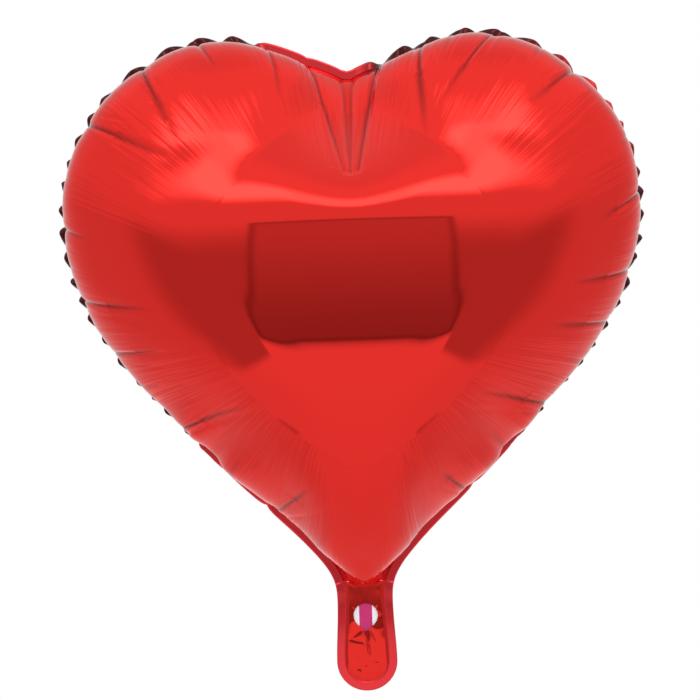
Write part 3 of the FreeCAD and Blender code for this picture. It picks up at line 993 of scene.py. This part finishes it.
# Each strip: its half width, lower and upper end, distance behind the neck's plane, and material.
STRIPS = [
    ("valve_front_film", .0110, -.036, .074, -.00025, valve_film),
    ("valve_back_film", .0110, -.036, .074, .00025, valve_film),
    ("release_strip", .0040, -.032, .042, -.00032, release_print)]
for name, *form in STRIPS:
    pieces[name] = strip_film(name, *form)

# Each piece: its slot, and the two nodes of the assembly that it stands for.
PIECES = [
    ("front_foil", "red_foil", "front_foil_panel", "neck_front_foil"),
    ("back_foil", "red_foil", "back_foil_panel", "neck_back_foil"),
    ("sealed_rim", "sealed_foil", "heart_sealed_rim", "neck_sealed_rim"),
    ("valve_front_film", "valve_film", "valve_mouth_front_film", "valve_tail_front_film"),
    ("valve_back_film", "valve_film", "valve_mouth_back_film", "valve_tail_back_film"),
    ("release_strip", "release_print", "valve_mouth_release_strip", "valve_tail_release_strip")]
for name, slot, *nodes in PIECES:
    piece = pieces[name]
    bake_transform(piece)
    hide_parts(*nodes)

# ---- stage, light, camera


bpy.ops.mesh.primitive_plane_add(size=1, location=(0, 0, -.42))
floor = bpy.context.object
floor.name = "floor"
floor.scale = (6, 6, 1)
floor.data.materials.append(material("pale_card", (.86, .86, .86), 0, .9))
floor.visible_glossy = False

# Brightness of the parts of the tent that the foil reflects.
WALL_AHEAD, WALL_SIDE, WALL_HIGH, WALL_BEHIND = .52, .76, .92, .80
CEILING, CEILING_TOP, CEILING_BEHIND = 1.08, .95, .84
FLOOR_BELOW, FLOOR_FAR = .86, .98
OPENING_LOW, OPENING_HIGH, OPENING_EDGE = .34, .62, .60
LAMP_MIDDLE, LAMP_ENDS = 1.7, 2.2
# Slopes of the lines where the ceiling and the floor meet the walls, and the opening's edges.
CEILING_SIDE, CEILING_AHEAD, CEILING_REAR = .95, .62, 1.2
FLOOR_AHEAD, FLOOR_CORNER, FLOOR_INNER, FLOOR_SIDE = .235, .31, .30, 1.05
OPENING_WIDE, OPENING_UP, OPENING_DOWN = .30, .33, .22


def light_tent(tree):
    """A soft white tent as world light: floor, walls, ceiling, and a lamp above a dark opening ahead."""
    n = Nodes(tree)
    way = tree.nodes.new("ShaderNodeSeparateXYZ")
    tree.links.new(tree.nodes.new("ShaderNodeTexCoord").outputs["Generated"], way.inputs[0])
    x, y, z = way.outputs
    side, front = n.math("ABSOLUTE", x), n.times(y, -1)
    turned = n.math("ARCTAN2", side, front)  # 0 towards the front, pi towards the back
    wall = n.blend(n.step(turned, .65, 1.15), WALL_AHEAD, WALL_SIDE)
    wall = n.blend(n.step(z, .08, .34), wall, WALL_HIGH)
    wall = n.blend(n.step(turned, 1.5, 2.3), wall, WALL_BEHIND)
    ceiling = n.blend(n.step(z, .90, .99), CEILING, CEILING_TOP)
    ceiling = n.blend(n.step(front, -.60, -.10), CEILING_BEHIND, ceiling)
    above = n.minus(z, n.times(side, CEILING_SIDE))
    above = n.least(above, n.minus(z, n.times(front, CEILING_AHEAD)))
    above = n.least(above, n.plus(z, n.times(front, CEILING_REAR)))
    level = n.blend(n.step(above, -.03, .05), wall, ceiling)
    corner = n.times(n.most(front, 0), FLOOR_CORNER)
    corner = n.step(n.minus(side, corner), -.02, .02)
    below = n.times(side, n.blend(corner, FLOOR_INNER, FLOOR_SIDE))
    below = n.most(n.times(front, FLOOR_AHEAD), below)
    below = n.minus(n.times(z, -1), below)
    floor = n.blend(n.step(z, -.9, -.3), FLOOR_BELOW, FLOOR_FAR)
    level = n.blend(n.step(below, -.02, .03), level, floor)
    ahead = n.most(front, .05)
    rise = n.over(z, ahead)
    inset = n.least(n.minus(OPENING_WIDE, n.over(side, ahead)),
                   n.least(n.minus(OPENING_UP, rise),
                          n.plus(OPENING_DOWN, rise)))
    opening = n.blend(n.step(z, -.20, .25), OPENING_LOW, OPENING_HIGH)
    opening = n.times(opening, n.blend(n.step(inset, .0, .02), OPENING_EDGE, 1))
    in_opening = n.times(n.step(inset, -.012, .003), n.step(front, .3, .5))
    level = n.blend(in_opening, level, opening)
    lamp = n.times(n.step(z, .80, .68), n.step(turned, .62, .38))
    lamp = n.times(n.step(z, .50, .60), lamp)
    ends = n.blend(n.step(turned, .08, .24), LAMP_MIDDLE, LAMP_ENDS)
    level = n.plus(level, n.times(lamp, ends))
    shown = n.blend(tree.nodes.new("ShaderNodeLightPath").outputs["Is Camera Ray"], level, 1.0)
    background = tree.nodes["Background"]
    background.inputs["Color"].default_value = (1, 1, 1, 1)
    tree.links.new(shown, background.inputs["Strength"])


world = bpy.data.worlds.new("tent")
scene = bpy.context.scene
scene.world = world
world.use_nodes = True
light_tent(world.node_tree)


light = bpy.data.lights.new("overhead", "AREA")
light.shape, light.size, light.size_y, light.energy = "RECTANGLE", 2.6, 1.3, 25
overhead = bpy.data.objects.new("overhead", light)
overhead.location = (0, -.55, 1.9)
overhead.rotation_euler = (Vector((0, .2, .1)) - Vector((0, -.55, 1.9))).to_track_quat("-Z", "Y").to_euler()
overhead.visible_glossy = False
scene.collection.objects.link(overhead)

camera = bpy.data.objects.new("camera", bpy.data.cameras.new("camera"))
scene.collection.objects.link(camera)
scene.camera = camera
DISTANCE, VIEW_WIDTH, ROLL, SENSOR = 2.2, .4323, math.radians(2.0), 36
middle = Vector((.0011, 0, .1457))
cos, sin = math.cos(ROLL), math.sin(ROLL)
middle = Vector((middle.x * cos - middle.z * sin, 0, middle.x * sin + middle.z * cos))
camera.location = middle + Vector((0, -DISTANCE, 0))
camera.rotation_euler = (math.pi / 2, ROLL, 0)
camera.data.lens = SENSOR * DISTANCE / VIEW_WIDTH
camera.data.clip_end = 50
scene.view_settings.view_transform = "Standard"
